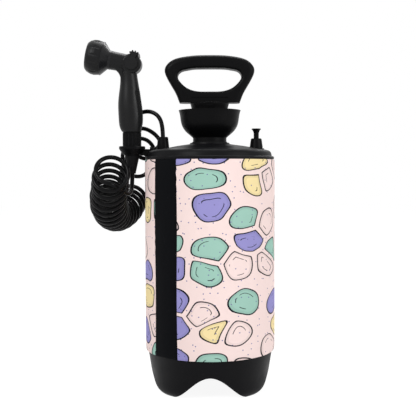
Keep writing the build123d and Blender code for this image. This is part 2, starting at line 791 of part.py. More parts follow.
# Handset
def handset_nut():
    """Fluted nut that holds the hose's tail on the handset."""
    nut = turned([
        (TAIL_TOP_RADIUS + 0.4, handnut_foot),
        (HANDNUT_RADIUS - 1.2, handnut_foot),
        (HANDNUT_RADIUS, handnut_foot + 1.6),
        (HANDNUT_RADIUS, handnut_top - 1.2),
        (HANDNUT_RADIUS - 1.0, handnut_top),
        (HANDNUT_RADIUS - 2.4, handnut_top),
        (HANDNUT_RADIUS - 2.4, handnut_foot + 5),
        (TAIL_TOP_RADIUS + 0.4, handnut_foot + 3),
    ])
    flute = Pos(HANDNUT_RADIUS + 1.5, 0, 0) * rod(2.4, handnut_foot + 8, handnut_top - 2.2)
    for cut in around(HANDNUT_FLUTES, flute):
        nut -= cut
    return Pos(HANDSET_X, HANDSET_Y, 0) * nut


def hose_tail():
    """Tapered strain relief round the hose's end, with a flange in the nut."""
    low = CUP_SEAT_Z - TAIL_LENGTH
    tail = turned([
        (HOSE_RADIUS + RUN, low),
        (TAIL_END_RADIUS, low),
        (TAIL_END_RADIUS + 0.5, low + 3),
        (TAIL_TOP_RADIUS, low + TAIL_LENGTH - 8),
        (TAIL_TOP_RADIUS, handnut_foot + 3.0),
        (HANDNUT_RADIUS - 2.6, handnut_foot + 5.0),
        (HANDNUT_RADIUS - 2.6, handnut_foot + 7.0),
        (HOSE_RADIUS - 0.8, handnut_foot + 7.0),
        (HOSE_RADIUS - 0.8, low + 6),
        (HOSE_RADIUS + RUN, low + 6),
    ])
    return Pos(HANDSET_X, HANDSET_Y, 0) * tail


def hose_washer():
    """Washer between the tail's flange and the handset's spigot."""
    low = handnut_foot + 7.0
    return Pos(HANDSET_X, HANDSET_Y, 0) * tube(HANDNUT_RADIUS - 3.0, WATERWAY - 1.5, low, low + 1.8)


def grip_form(inset):
    """Leaning oval grip, from the nut up into the elbow."""
    stations = [
        (handnut_top + SEAT, 0.0, 14.2, 14.0),
        (handnut_top + 4.6, -1.2, 16.0, 15.0),
        (handnut_top + 17.6, -1.6, 18.0, 16.0),
        (handnut_top + 32.6, -2.2, 18.1, 16.2),
        (handnut_top + 54.3, -3.2, 16.2, 15.0),
        (ELBOW_Z - 18.3, -4.0, 12.8, 12.6),
        (ELBOW_Z - 3.0, -2.0, 12.6, 12.2),
    ]
    rings = []
    for z, lean, across, deep in stations:
        plane = Plane((HANDSET_X + lean, HANDSET_Y, z))
        rings.append(plane * Ellipse(across - inset, deep - inset))
    return loft(rings)


def grip_pad_zone():
    """Space of the soft pad on the back of the grip."""
    blank = Box(30, 24, 58, align=(Align.MIN, Align.CENTER, Align.MIN))
    blank = fillet(blank.edges().filter_by(Axis.X), 8)
    return Pos(HANDSET_X + 3.5, HANDSET_Y, handnut_top + 7.6) * blank


def head_plane():
    """Plane across the arm at the elbow's centre, its normal along the arm."""
    tilt = radians(HEAD_TILT)
    return Plane((ELBOW_X, HANDSET_Y, ELBOW_Z), x_dir=(0, 1, 0), z_dir=(-cos(tilt), 0, sin(tilt)))


def on_arm(shape):
    """Shape drawn about Z, set on the arm's axis."""
    return head_plane().location * shape


def across_elbow(radius, length):
    """Bar along Y through the elbow's centre."""
    return Pos(ELBOW_X, HANDSET_Y, ELBOW_Z) * Rot(90, 0, 0) * Cylinder(radius, length)


def gusset():
    """Rounded web in the corner between grip and arm."""
    tilt = radians(HEAD_TILT)
    reach = ARM_LENGTH - 3.5
    far = (ELBOW_X - reach * cos(tilt), ELBOW_Z + reach * sin(tilt) - ARM_RADIUS + 2.0)
    low = (HANDSET_X - 4.2 - 11.6, ELBOW_Z - 26)
    corner = (ELBOW_X, ELBOW_Z - 4)
    bend = ThreePointArc(far, (HANDSET_X - 20.6, ELBOW_Z - 11.6), low)
    face = make_face([bend, Line(low, corner), Line(corner, far)])
    web = extrude(Plane.XZ * face, 9.0, both=True)
    return Pos(0, HANDSET_Y, 0) * fillet(web.edges().filter_by(GeomType.CIRCLE), 4.0)


def handset_body():
    """Grip, elbow and arm in one moulding with a waterway through it."""
    spigot_foot = handnut_foot + 8.8
    body = grip_form(0)
    elbow = across_elbow(ELBOW_RADIUS, 2 * ELBOW_HALF)
    body += fillet(elbow.edges().filter_by(GeomType.CIRCLE), 3.0)
    arm = turned([(0, 0), (ARM_RADIUS - 0.8, 0), (ARM_RADIUS, ARM_LENGTH - 4), (ARM_RADIUS - 2.6, ARM_LENGTH - 4),
                  (ARM_RADIUS - 2.6, ARM_LENGTH + 1.8), (0, ARM_LENGTH + 1.8)])
    body += on_arm(arm)
    body += gusset()
    spigot = rod(HANDNUT_RADIUS - 2.6, spigot_foot, handnut_top + 2)
    body += Pos(HANDSET_X, HANDSET_Y, 0) * spigot
    body -= Pos(HANDSET_X, HANDSET_Y, 0) * rod(WATERWAY, spigot_foot - 1, ELBOW_Z)
    body -= on_arm(rod(WATERWAY, 0, ARM_LENGTH + 3))
    body -= across_elbow(SPINDLE_RADIUS + RUN, 2 * ELBOW_HALF + 2)
    shell = grip_form(0) - grip_form(GRIP_WALL)
    return body - (shell & grip_pad_zone())


def grip_pad():
    """Soft pad let into the back of the grip."""
    return (grip_form(0) - grip_form(GRIP_WALL)) & grip_pad_zone()


def valve_spindle():
    """Drum across the elbow with a port, turned by the lever."""
    drum = across_elbow(SPINDLE_RADIUS, 2 * ELBOW_HALF + 0.4)
    ends = across_elbow(SPINDLE_RADIUS - 2.5, 2 * (ELBOW_HALF + SOFT + LEVER_THICK))
    spindle = drum + ends
    for side in (-1, 1):
        ring = across_elbow(SPINDLE_RADIUS + 1, 2.0) - across_elbow(SPINDLE_RADIUS - 1.2, 2.0)
        spindle -= Pos(0, side * (ELBOW_HALF - 3.5), 0) * ring
    return spindle - on_arm(rod(4.4, -10, 10))


def spindle_seals():
    """Two rings in the drum's grooves."""
    rings = []
    for side in (-1, 1):
        ring = across_elbow(SPINDLE_RADIUS, 2.0 - SEAT) - across_elbow(SPINDLE_RADIUS - 1.2 + RUN, 2.0)
        rings.append(Pos(0, side * (ELBOW_HALF - 3.5), 0) * ring)
    return Compound(children=[part.solid() for part in rings])


def thumb_lever():
    """Saddle over the elbow on two round side plates, with three thumb fins."""
    inner = ELBOW_RADIUS + SOFT
    outer = inner + LEVER_THICK
    half = ELBOW_HALF + SOFT
    width = 2 * (half + LEVER_THICK)
    arc = LEVER_END - LEVER_START
    saddle = sector(outer, inner, -width / 2, width / 2, LEVER_START, arc)
    cheek = sector(outer, 0, -width / 2, width / 2, LEVER_START + 6, arc - 12)
    cheek += Cylinder(LEVER_BOSS, width)
    cheek -= Cylinder(outer + 1, 2 * half)
    lever = saddle + cheek
    for step in range(LEVER_FINS):
        fin = Pos(outer + 0.4, 0, 0) * Box(3.6, 2.0, width - 3)
        fin = fillet(fin.edges().filter_by(Axis.Z), 0.9)
        lever += fin.rotate(Axis.Z, LEVER_START + 9 + 13 * step)
    lever -= Cylinder(SPINDLE_RADIUS - 2.5, width + 2)
    return Pos(ELBOW_X, HANDSET_Y, ELBOW_Z) * Rot(90, 0, 0) * lever


# Spray head
def cone_levels():
    """Start of the cone, its end, and the dial's start and face, along the arm."""
    start = ARM_LENGTH
    end = start + CONE_LENGTH
    return start, end, end + SOFT, end + SOFT + DIAL_LENGTH


def head_housing():
    """Glossy cone behind the dial, with a ported plate and a spigot."""
    start, end, low, face = cone_levels()
    neck = ARM_RADIUS - 2.6 + RUN
    cone = turned([
        (neck, start - 4),
        (ARM_RADIUS + 0.3, start - 4),
        (ARM_RADIUS + 0.3, start),
        (CONE_RADIUS, end - 0.8),
        (CONE_RADIUS, end),
        (SPIGOT_RADIUS, end),
        (SPIGOT_RADIUS, face - 4.9),
        (1.4, face - 4.9),
        (1.4, end - 3),
        (CONE_RADIUS - 4.6, end - 3),
        (ARM_RADIUS - 0.4, start + 1.8),
        (neck, start + 1.8),
    ])
    port = Pos(13, 0, 0) * rod(4.0, end - 4, end + 1)
    return on_arm(cone - port)


def dial_seal():
    """Ring round the port in the housing's plate."""
    start, end, low, face = cone_levels()
    ring = tube(SPIGOT_RADIUS + 2.0, SPIGOT_RADIUS + RUN, end, end + 1.0)
    return on_arm(ring)


def spray_dial():
    """Scalloped cup that turns on the spigot, with windows behind its plate."""
    start, end, low, face = cone_levels()
    wall = DIAL_WALL
    cup = turned([
        (CONE_RADIUS - 0.4 - wall, low),
        (CONE_RADIUS - 0.4, low),
        (DIAL_RADIUS, low + 8.5),
        (DIAL_RADIUS - 0.6, low + 14.0),
        (DIAL_RADIUS - 3.0, face - 3.0),
        (DIAL_FACE_RADIUS, face),
        (DIAL_FACE_RADIUS - 2.2, face),
        (DIAL_FACE_RADIUS - 2.2, face - 2.4),
        (SPIGOT_RADIUS + 2.0, face - 2.4),
        (SPIGOT_RADIUS + 2.0, face - 5.0),
        (SPIGOT_RADIUS + RUN, face - 5.0),
        (SPIGOT_RADIUS + RUN, end + 1.1),
        (SPIGOT_RADIUS + 3.0, end + 1.1),
        (SPIGOT_RADIUS + 3.0, face - 5.0),
        (DIAL_FACE_RADIUS - 2.4, face - 5.0),
        (DIAL_RADIUS - wall - 0.4, low + 13.0),
        (DIAL_RADIUS - wall, low + 8.5),
    ])
    scallop = Pos(DIAL_RADIUS + 3.6, 0, 0) * rod(5.0, low + 3.0, face + 1)
    for cut in around(DIAL_SCALLOPS, scallop):
        cup -= cut
    window = Pos(12.6, 0, 0) * rod(2.6, face - 6, face)
    for cut in around(8, window):
        cup -= cut
    return on_arm(cup)


def nozzle_plate():
    """Face disc with eight spray patterns."""
    start, end, low, face = cone_levels()
    plate = turned([
        (SPIGOT_RADIUS + 2.2, face - 2.3),
        (DIAL_FACE_RADIUS - 2.4, face - 2.3),
        (DIAL_FACE_RADIUS - 2.4, face - 0.4),
        (DIAL_FACE_RADIUS - 2.8, face),
        (SPIGOT_RADIUS + 2.2, face),
    ])
    jets = [rod(1.3, face - 3, face + 1), Box(1.2, 4.4, 8), Box(4.4, 1.2, 8), rod(2.2, face - 3, face + 1)]
    for index in range(8):
        jet = jets[index % len(jets)]
        if index % len(jets) in (1, 2):
            jet = Pos(0, 0, face - 1) * jet
        plate -= (Pos(12.6, 0, 0) * jet).rotate(Axis.Z, 45.0 * index)
    return on_arm(plate)


def dial_screw():
    """Screw in the spigot whose head keeps the dial on."""
    start, end, low, face = cone_levels()
    head = turned([
        (0, face - 14),
        (1.4, face - 14),
        (1.4, face - 4.9),
        (SPIGOT_RADIUS + 1.6, face - 4.9),
        (SPIGOT_RADIUS + 1.6, face - 1.0),
        (SPIGOT_RADIUS + 0.8, face - 0.4),
        (0, face - 0.4),
    ])
    slot = Pos(0, 0, face) * Box(8, 1.0, 2.4)
    return on_arm(head - slot)


# Hose
def route_path(points):
    """Straight runs joined by tangent arcs as large as the runs allow."""
    radii = []
    for before, here, after in zip(points, points[1:], points[2:]):
        run_in = Vector(*here) - Vector(*before)
        run_out = Vector(*after) - Vector(*here)
        turn = radians(run_in.get_angle(run_out))
        radii.append(0.45 * min(run_in.length, run_out.length) / tan(turn / 2))
    print("cord radii", [round(radius, 1) for radius in radii])
    return FilletPolyline(*points, radius=radii)


def hose_tube(points):
    """Plain round hose along a route."""
    path = route_path(points)
    hose = sweep(Plane(path @ 0, z_dir=path % 0) * Circle(HOSE_RADIUS), path)
    print("hose volume", round(hose.volume), "by section and length", round(pi * HOSE_RADIUS**2 * path.length))
    return hose


def beside_cup(points):
    """Points given from the handset's axis and the cup's seat, as places in the frame."""
    return [(HANDSET_X + x, y, CUP_SEAT_Z + z) for x, y, z in points]


# Loose turns from the outlet to the coil
LEAD_ROUTE = [
    (OUTLET_X, 0, nut_foot + NUT_HEIGHT * 0.56 + 4 + SEAT),
    (OUTLET_X, 0, CUP_SEAT_Z + 36),
] + beside_cup([
    (40, 4, 54),
    (24, 10, 62),
    (5, 17, 57),
    (-8, 23, 42),
    (-10, 27, 22),
    (3, 31, 4),
    (20, 34, -2),
    (37, 34, 5.5),
    (41, 34, 17),
    (29, 35, 30),
    (12, 37, 38),
    (-4, 41, 31),
    (-10, 46, 14),
    (-2, 51, -3),
    (13, 57, -12),
    (26, 64, -8),
    (29, 66, 6),
    (18, 65, 20),
    (0, 64, 23),
    (-16, 65, 13),
    (-24, 69, -5),
    (-21, 72, -25),
    (-8, 75, -39),
    (10, 77, -39),
    (22, 78, -26),
    (20, 79, -9),
    (7, 81, 2),
    (-10, 82, 0),
    (-22, 85, -13),
    (-27, 91, -33),
])

# From the handset's tail down to the coil's front
END_ROUTE = [
    (HANDSET_X, HANDSET_Y, CUP_SEAT_Z - TAIL_LENGTH + 6 - SEAT),
] + beside_cup([
    (0, -6, -48),
    (-0.5, -18, -61),
    (-4, -34, -65),
    (-12, -47, -59),
])

# Centres of the coil's rings, from the front end round to the back end
COIL_LINE = beside_cup([
    (-24.5, -50, -26),
    (-30, -37, -50),
    (-35, -15, -75),
    (-34, 13, -93),
    (-26, 38, -97),
    (-16, 58, -88),
    (-9, 76, -71),
])


def ring_normal(index):
    """Direction that a ring of the coil faces: between the line's own and +Y."""
    low = Vector(*COIL_LINE[max(index - 1, 0)])
    high = Vector(*COIL_LINE[min(index + 1, len(COIL_LINE) - 1)])
    return ((high - low).normalized() + Vector(0, 0.9, 0)).normalized()


def hose_coil():
    """Closed outer shape of the coiled hose."""
    rings = []
    for index, centre in enumerate(COIL_LINE):
        plane = Plane(centre, x_dir=(1, 0, 0), z_dir=ring_normal(index))
        rings.append(plane * Circle(COIL_RADIUS))
    return loft(rings)


def coil_end():
    """Last two points of the lead: square on to the coil's back ring, near its left edge."""
    ring = Plane(COIL_LINE[-1], x_dir=(1, 0, 0), z_dir=ring_normal(len(COIL_LINE) - 1))
    rim = Vector(*COIL_LINE[-1]) - ring.x_dir * 20
    return [tuple(rim + ring.z_dir * 18), tuple(rim)]


coil = hose_coil()

PARTS = {
    "tank": tank(),
    "sleeve_panel": sleeve_panel(),
    "closure_strip": closure_strip(),
    "funnel_collar": funnel_collar(),
    "neck_gasket": neck_gasket(),
    "pump_cap": pump_cap(),
    "cap_seal": cap_seal(),
    "pump_cylinder": pump_cylinder(),
    "foot_valve": foot_valve(),
    "rod_bush": rod_bush(),
    "pump_rod": pump_rod(),
    "handle_pin": handle_pin(),
    "piston": piston(),
    "piston_seal": piston_seal(),
    "handle": handle(),
    "relief_valve_body": relief_valve_body(),
    "relief_gasket": relief_gasket(),
    "relief_stem": relief_stem(),
    "relief_seal": relief_seal(),
    "relief_spring": relief_spring(),
    "outlet_fitting": outlet_fitting(),
    "outlet_gasket": outlet_gasket(),
    "outlet_nut": outlet_nut(),
    "dip_tube": dip_tube(),
    "dip_filter": dip_filter(),
    "handset_holder": handset_holder(),
    "handset_nut": handset_nut(),
    "hose_tail": hose_tail(),
    "hose_washer": hose_washer(),
    "handset_body": handset_body(),
    "grip_pad": grip_pad(),
    "valve_spindle": valve_spindle(),
    "spindle_seals": spindle_seals(),
    "thumb_lever": thumb_lever(),
    "head_housing": head_housing(),
    "dial_seal": dial_seal(),
    "spray_dial": spray_dial(),
    "nozzle_plate": nozzle_plate(),
    "dial_screw": dial_screw(),
    "hose_lead": hose_tube(LEAD_ROUTE + coil_end()),
    "hose_coil": coil,
    "hose_end": hose_tube(END_ROUTE) - coil,
}

os.makedirs("parts", exist_ok=True)
for name, shape in PARTS.items():
    export_step(shape, f"parts/{name}.step")
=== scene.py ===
import json
import math
import random

import bmesh
import bpy
from bpy.props import FloatProperty, FloatVectorProperty, IntProperty, PointerProperty
from mathutils import Matrix, Vector
from mathutils.bvhtree import BVHTree


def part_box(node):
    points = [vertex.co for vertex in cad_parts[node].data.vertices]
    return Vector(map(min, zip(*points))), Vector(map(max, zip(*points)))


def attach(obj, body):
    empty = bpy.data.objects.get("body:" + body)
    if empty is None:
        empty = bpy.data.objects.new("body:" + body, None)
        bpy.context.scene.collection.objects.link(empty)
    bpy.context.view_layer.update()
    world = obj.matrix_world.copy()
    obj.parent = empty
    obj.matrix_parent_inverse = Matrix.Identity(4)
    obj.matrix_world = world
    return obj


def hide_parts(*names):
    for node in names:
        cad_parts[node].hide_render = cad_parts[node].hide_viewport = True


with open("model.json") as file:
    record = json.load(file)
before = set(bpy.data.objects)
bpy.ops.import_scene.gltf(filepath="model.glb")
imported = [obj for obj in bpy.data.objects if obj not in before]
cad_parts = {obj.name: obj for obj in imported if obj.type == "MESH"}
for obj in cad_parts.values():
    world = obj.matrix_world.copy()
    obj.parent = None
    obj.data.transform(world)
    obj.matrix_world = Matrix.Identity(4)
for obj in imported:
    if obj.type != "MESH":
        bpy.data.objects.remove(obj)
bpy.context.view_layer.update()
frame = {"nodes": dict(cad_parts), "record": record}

bl_info = {
    "name": "Portable shower",
    "version": (1, 0, 0),
    "blender": (4, 5, 0),
    "location": "View3D > Sidebar > Shower",
    "description": "Finishes, sleeve, hose and studio for a hand-pumped camp shower",
    "category": "Object",
}


def linear(code):
    """Linear colour for a code written as sRGB hex."""
    parts = [int(code[i:i + 2], 16) / 255 for i in (1, 3, 5)]
    return tuple(c / 12.92 if c <= 0.04045 else ((c + 0.055) / 1.055) ** 2.4 for c in parts)


# Settings that a user would change
class HoseSettings(bpy.types.PropertyGroup):
    diameter: FloatProperty(name="Diameter", description="Outside diameter of the hose", default=0.0065,
                            min=0.004, max=0.012, unit="LENGTH")
    ring_radius: FloatProperty(name="Ring radius", description="Of the coil's rings, at the hose's middle",
                               default=0.0253, min=0.015, max=0.04, unit="LENGTH")
    turns: FloatProperty(name="Turns", description="Turns in the coil", default=16.36, min=4.0, max=20.0)
    looseness: FloatProperty(name="Looseness", description="How far a ring may stray from its place",
                             default=0.0007, min=0.0, max=0.005, unit="LENGTH")


class SleeveSettings(bpy.types.PropertyGroup):
    thickness: FloatProperty(name="Thickness", description="Foam and jersey together", default=0.0027,
                             min=0.001, max=0.006, unit="LENGTH")
    motif_width: FloatProperty(name="Motif width", description="Width of one printed pebble", default=0.060,
                               min=0.01, max=0.2, unit="LENGTH")
    line_width: FloatProperty(name="Line width", description="Printed outline", default=0.0019,
                              min=0.0004, max=0.005, unit="LENGTH")
    stitch_spacing: FloatProperty(name="Stitch spacing", description="From one stitch to the next",
                                  default=0.0034, min=0.0015, max=0.01, unit="LENGTH")
    ground: FloatVectorProperty(name="Ground", description="Blush ground of the print", subtype="COLOR",
                                default=linear("#f0dad6"))
    green: FloatVectorProperty(name="Green", description="Sage pebbles", subtype="COLOR",
                               default=linear("#9cc4b6"))
    lilac: FloatVectorProperty(name="Lilac", description="Lilac pebbles", subtype="COLOR",
                               default=linear("#9590c8"))
    sand: FloatVectorProperty(name="Sand", description="Sand pebbles", subtype="COLOR",
                              default=linear("#f0dca6"))
    ink: FloatVectorProperty(name="Ink", description="Outlines", subtype="COLOR", default=linear("#1c1c24"))


class GripSettings(bpy.types.PropertyGroup):
    pip_spacing: FloatProperty(name="Pip spacing", description="Between the soft pad's pips", default=0.0030,
                               min=0.0015, max=0.01, unit="LENGTH")
    pip_radius: FloatProperty(name="Pip radius", description="Radius of one pip", default=0.00085,
                              min=0.0003, max=0.003, unit="LENGTH")
    seed: IntProperty(name="Seed", description="For the small differences between pips", default=7)


class StudioSettings(bpy.types.PropertyGroup):
    lens: FloatProperty(name="Focal length", description="On a 36 mm sensor", default=68.4,
                        min=20.0, max=200.0)
    distance: FloatProperty(name="Distance", description="From the tank's axis", default=1.2, min=0.5, max=5.0,
                            unit="LENGTH")
    height: FloatProperty(name="Height", description="Of the camera over the floor", default=0.329, min=0.0,
                          max=2.0, unit="LENGTH")
    pitch: FloatProperty(name="Pitch", description="Downward tilt of the camera", default=math.radians(2.8),
                         subtype="ANGLE")
    roll: FloatProperty(name="Roll", description="Tilt of the camera to one side",
                        default=math.radians(-0.15), subtype="ANGLE")
    key: FloatProperty(name="Key light", description="Large soft light, front left", default=40.0,
                       unit="POWER")
    fill: FloatProperty(name="Fill light", description="Soft light, right", default=24.0, unit="POWER")
    rim: FloatProperty(name="Rim light", description="Narrow bright light behind, right", default=4.0,
                       unit="POWER")
    surround: FloatProperty(name="Surround", description="Even light from all round", default=0.36)


# Shader nodes: the colour sockets of a Mix node, by place
MIX_A, MIX_B, MIX_RESULT = 6, 7, 2


def node(tree, kind, links=(), **settings):
    """Adds one node: settings are its properties, links a list of (socket, value or output)."""
    made = tree.nodes.new(kind)
    for key, value in settings.items():
        setattr(made, key, value)
    for socket, value in links:
        if isinstance(value, bpy.types.NodeSocket):
            tree.links.new(value, made.inputs[socket])
        else:
            made.inputs[socket].default_value = value
    return made


def new_material(name):
    """Empty material and its tree with a principled shader and an output."""
    material = bpy.data.materials.new(name)
    material.use_nodes = True
    tree = material.node_tree
    tree.nodes.clear()
    shader = node(tree, "ShaderNodeBsdfPrincipled")
    node(tree, "ShaderNodeOutputMaterial", [("Surface", shader.outputs["BSDF"])])
    return material, tree, shader


def rgba(colour):
    return (*colour[:3], 1.0)


def moulded(name, code, low, high, grain, depth, specular=0.35):
    """Moulded plastic: an even body colour, a grain of that width and depth in metres, and roughness
    between low and high that changes from place to place as the mould's polish did."""
    material, tree, shader = new_material(name)
    place = node(tree, "ShaderNodeTexCoord").outputs["Object"]
    polish = node(tree, "ShaderNodeTexNoise", [("Vector", place), ("Scale", 38.0), ("Detail", 3.0)])
    grains = node(tree, "ShaderNodeTexNoise", [("Vector", place), ("Scale", 1.0 / grain), ("Detail", 2.0)])
    gloss = node(tree, "ShaderNodeMapRange", [
        ("Value", polish.outputs["Fac"]), ("From Min", 0.3), ("From Max", 0.7), ("To Min", low),
        ("To Max", high)])
    body = linear(code)
    shade = node(tree, "ShaderNodeMix", [
        ("Factor", polish.outputs["Fac"]), (MIX_A, rgba([c * 0.86 for c in body])),
        (MIX_B, rgba([c * 1.14 for c in body]))], data_type="RGBA")
    bump = node(tree, "ShaderNodeBump", [("Height", grains.outputs["Fac"]), ("Strength", 0.6),
                                         ("Distance", depth)])
    tree.links.new(shade.outputs[MIX_RESULT], shader.inputs["Base Color"])
    tree.links.new(gloss.outputs["Result"], shader.inputs["Roughness"])
    tree.links.new(bump.outputs["Normal"], shader.inputs["Normal"])
    shader.inputs["Specular IOR Level"].default_value = specular
    return material


def turned_steel(name, code):
    """Bright drawn steel, with fine marks along its length."""
    material, tree, shader = new_material(name)
    place = node(tree, "ShaderNodeTexCoord").outputs["Object"]
    stretch = node(tree, "ShaderNodeMapping", [("Vector", place), ("Scale", (1.0, 1.0, 30.0))])
    marks = node(tree, "ShaderNodeTexNoise", [("Vector", stretch.outputs["Vector"]), ("Scale", 900.0)])
    gloss = node(tree, "ShaderNodeMapRange", [("Value", marks.outputs["Fac"]), ("To Min", 0.2),
                                              ("To Max", 0.38)])
    shader.inputs["Base Color"].default_value = rgba(linear(code))
    shader.inputs["Metallic"].default_value = 1.0
    tree.links.new(gloss.outputs["Result"], shader.inputs["Roughness"])
    return material


def knit(tree, cloth):
    """Height of a jersey's rows and wales, one loop about 0.9 mm wide so that it shows."""
    rows = node(tree, "ShaderNodeTexWave", [("Vector", cloth), ("Scale", 175.0), ("Distortion", 0.6)],
                bands_direction="X")
    wales = node(tree, "ShaderNodeTexWave", [("Vector", cloth), ("Scale", 240.0), ("Distortion", 0.6)],
                 bands_direction="Y")
    return node(tree, "ShaderNodeMath", [(0, rows.outputs["Fac"]), (1, wales.outputs["Fac"])],
                operation="MULTIPLY").outputs["Value"]


def jersey_finish(tree, shader, cloth, dents):
    """Soft sheen and knit relief of jersey laminated on foam."""
    loops = node(tree, "ShaderNodeBump", [("Height", knit(tree, cloth)), ("Strength", 0.35),
                                          ("Distance", 0.0002)])
    soft = node(tree, "ShaderNodeTexNoise", [("Vector", cloth), ("Scale", dents), ("Detail", 2.0)])
    relief = node(tree, "ShaderNodeBump", [("Height", soft.outputs["Fac"]), ("Strength", 0.35),
                                           ("Distance", 0.004), ("Normal", loops.outputs["Normal"])])
    tree.links.new(relief.outputs["Normal"], shader.inputs["Normal"])
    shader.inputs["Roughness"].default_value = 0.78
    shader.inputs["Specular IOR Level"].default_value = 0.05
    shader.inputs["Sheen Weight"].default_value = 0.02
    shader.inputs["Sheen Roughness"].default_value = 0.5


def black_jersey(name):
    """Plain black jersey on neoprene foam: matt, with a faint sheen at grazing angles."""
    material, tree, shader = new_material(name)
    cloth = node(tree, "ShaderNodeTexCoord").outputs["UV"]
    shader.inputs["Base Color"].default_value = rgba(linear("#07080b"))
    jersey_finish(tree, shader, cloth, 24.0)
    return material


def printed_jersey(name, look):
    """Jersey with a sublimation print of outlined river pebbles on a blush ground, drawn in the
    cloth's own flat measure, so that it goes round the tank without stretching."""
    material, tree, shader = new_material(name)
    cloth = node(tree, "ShaderNodeTexCoord").outputs["UV"]

    def mix(factor, under, over):
        made = node(tree, "ShaderNodeMix", [("Factor", factor), (MIX_A, under), (MIX_B, over)],
                    data_type="RGBA")
        return made.outputs[MIX_RESULT]

    def calc(kind, *values):
        return node(tree, "ShaderNodeMath", list(enumerate(values)), operation=kind).outputs["Value"]

    wander = node(tree, "ShaderNodeTexNoise", [("Vector", cloth), ("Scale", 17.0), ("Detail", 1.0)])
    pull = node(tree, "ShaderNodeVectorMath", [(0, wander.outputs["Color"]), (1, (0.5, 0.5, 0.5))],
                operation="SUBTRACT")
    pull = node(tree, "ShaderNodeVectorMath", [(0, pull.outputs["Vector"]), ("Scale", 0.020)],
                operation="SCALE")
    warped = node(tree, "ShaderNodeVectorMath", [(0, cloth), (1, pull.outputs["Vector"])], operation="ADD")
    flat = node(tree, "ShaderNodeMapping", [("Vector", warped.outputs["Vector"]),
                                            ("Scale", (1.0, 1.45, 1.0))])
    step = 1.0 / look.motif_width
    layout = [("Vector", flat.outputs["Vector"]), ("Scale", step), ("Randomness", 0.82)]
    cells = node(tree, "ShaderNodeTexVoronoi", layout, voronoi_dimensions="2D")
    edges = node(tree, "ShaderNodeTexVoronoi", layout, feature="DISTANCE_TO_EDGE", voronoi_dimensions="2D")
    # A cell's straight edges, rounded off towards a circle about its middle
    reach = calc("MULTIPLY", calc("SUBTRACT", 0.56, cells.outputs["Distance"]), 0.8)
    away = calc("SMOOTH_MIN", edges.outputs["Distance"], reach, 0.16)
    pick = node(tree, "ShaderNodeSeparateColor", [("Color", cells.outputs["Color"])])
    choice = pick.outputs[0]
    ramp = node(tree, "ShaderNodeValToRGB", [("Fac", choice)])
    ramp.color_ramp.interpolation = "CONSTANT"
    stops = [(0.0, look.ground), (0.34, look.green), (0.56, look.lilac), (0.78, look.sand),
             (0.93, look.ground)]
    while len(ramp.color_ramp.elements) < len(stops):
        ramp.color_ramp.elements.new(0.5)
    for element, (at, colour) in zip(ramp.color_ramp.elements, stops):
        element.position = at
        element.color = rgba(colour)
    half_line = look.line_width * step * 0.5
    # From the cell's edge to the outline, to the shaded rim's end and to the inner line
    inset, rim, inner = 0.075, 0.07, 0.14
    pebble = calc("GREATER_THAN", away, inset)
    outline = calc("LESS_THAN", calc("ABSOLUTE", calc("SUBTRACT", away, inset)), half_line)
    ring = calc("LESS_THAN", calc("ABSOLUTE", calc("SUBTRACT", away, inset + inner)), half_line * 0.55)
    gap = node(tree, "ShaderNodeTexNoise", [("Vector", cloth), ("Scale", 60.0), ("Detail", 0.0)])
    ring = calc("MULTIPLY", ring, calc("GREATER_THAN", gap.outputs["Fac"], 0.52))
    shade = calc("MULTIPLY", calc("LESS_THAN", away, inset + rim), 0.10)
    specks = node(tree, "ShaderNodeTexVoronoi", [("Vector", cloth), ("Scale", 120.0), ("Randomness", 1.0)],
                  voronoi_dimensions="2D")
    few = node(tree, "ShaderNodeSeparateColor", [("Color", specks.outputs["Color"])])
    speck = calc("MULTIPLY", calc("LESS_THAN", specks.outputs["Distance"], 0.11),
                 calc("GREATER_THAN", few.outputs[1], 0.72))
    tint = mix(shade, ramp.outputs["Color"], rgba(look.ink))
    field = mix(pebble, rgba(look.ground), tint)
    field = mix(speck, field, rgba([0.6 * c for c in look.lilac]))
    field = mix(ring, field, rgba(look.ink))
    field = mix(outline, field, rgba(look.ink))
    tree.links.new(field, shader.inputs["Base Color"])
    jersey_finish(tree, shader, cloth, 18.0)
    return material


FINISHES = {}


# Moulded finishes: name, colour, least and most roughness, grain width and depth, specular
MOULDED = {
    # Waxy black, slight orange peel
    "black_polyethylene": ("Blow_moulded_polyethylene", "#0d0d0f", 0.36, 0.5, 0.0016, 0.00012, 0.08),
    # Satin black with an eroded grain
    "black_polypropylene": ("Moulded_polypropylene", "#09090a", 0.32, 0.46, 0.0007, 0.00005, 0.06),
    # Unpigmented, for the inner parts
    "grey_polypropylene": ("Natural_polypropylene", "#a6a7a8", 0.35, 0.5, 0.0010, 0.00003),
    # Sharper highlights than polypropylene
    "black_abs": ("Satin_ABS", "#101011", 0.3, 0.42, 0.0006, 0.00004, 0.16),
    # From a polished mould
    "gloss_abs": ("Polished_ABS", "#1b1b1d", 0.22, 0.28, 0.0030, 0.00002, 0.15),
    # Matt and slightly dusty
    "soft_rubber": ("Thermoplastic_rubber", "#0f0f10", 0.62, 0.76, 0.0005, 0.00006, 0.12),
    # Smooth, with a soft gloss
    "hose_polyurethane": ("Extruded_polyurethane", "#060607", 0.2, 0.28, 0.0040, 0.00008, 0.1),
}


def finish_library():
    """All the finishes, by the record's slot."""
    if not FINISHES:
        look = bpy.context.scene.shower_sleeve
        for slot, values in MOULDED.items():
            FINISHES[slot] = moulded(*values)
        FINISHES["steel"] = turned_steel("Drawn_stainless_steel", "#c4c5c8")
        FINISHES["printed_neoprene"] = printed_jersey("Printed_jersey_on_neoprene", look)
        FINISHES["black_neoprene"] = black_jersey("Black_jersey_on_neoprene")
    return FINISHES


